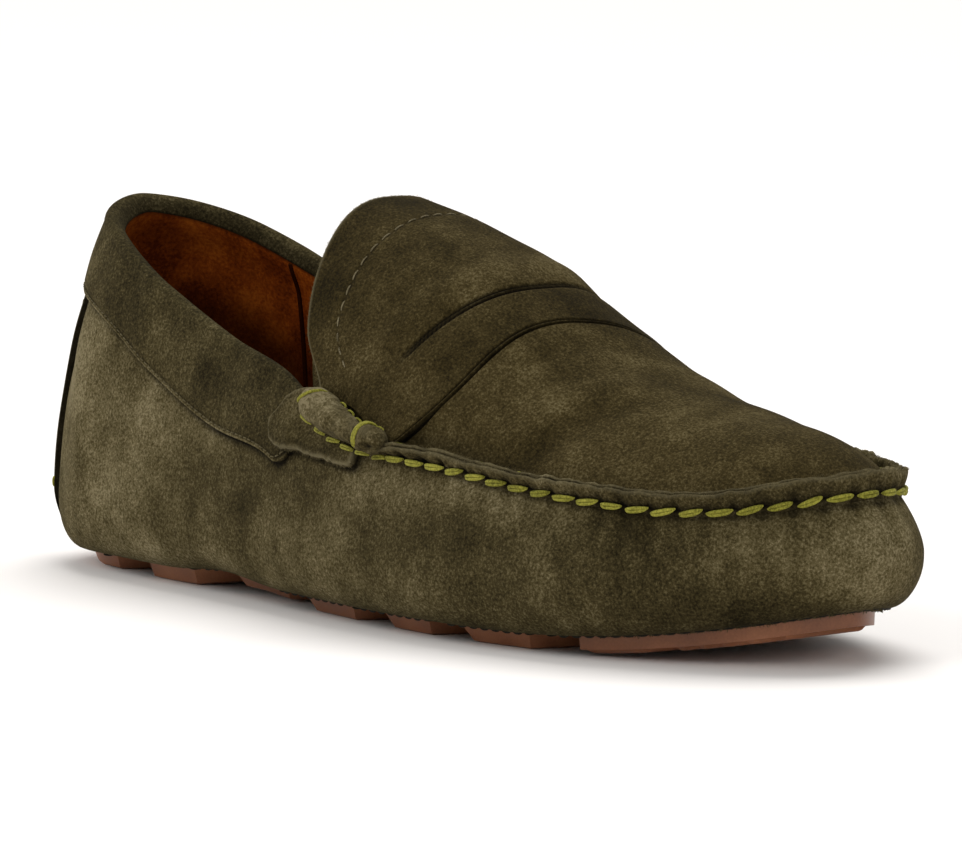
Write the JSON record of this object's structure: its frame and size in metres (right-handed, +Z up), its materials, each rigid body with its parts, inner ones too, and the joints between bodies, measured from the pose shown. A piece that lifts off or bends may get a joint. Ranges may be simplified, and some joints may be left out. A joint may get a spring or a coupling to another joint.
{
  "type": "loafer",
  "caption": "Suede driving loafer for the right foot: hollow moccasin upper with a raised sewn seam, saddle tongue, padded collar and a rubber sole with lugs.",
  "frame": {"origin": "on the floor under the middle of the shoe's box", "axes": "+X from heel to toe, +Y to the inner side of the foot, +Z up"},
  "size_m": [0.2914, 0.0978, 0.0988],
  "materials": {
    "suede": "brushed olive suede, matt",
    "lining": "cognac suede lining, matt",
    "rubber": "moulded brown rubber, semi-gloss"
  },
  "bodies": {
    "root": {"upper": "suede", "outsole": "rubber", "insole": "lining", "tongue": "suede", "collar": "suede", "moc_seam": "suede", "back_strip": "suede", "roll_lateral": "suede", "flap_lateral": "suede", "roll_medial": "suede", "flap_medial": "suede"}
  },
  "joints": []
}
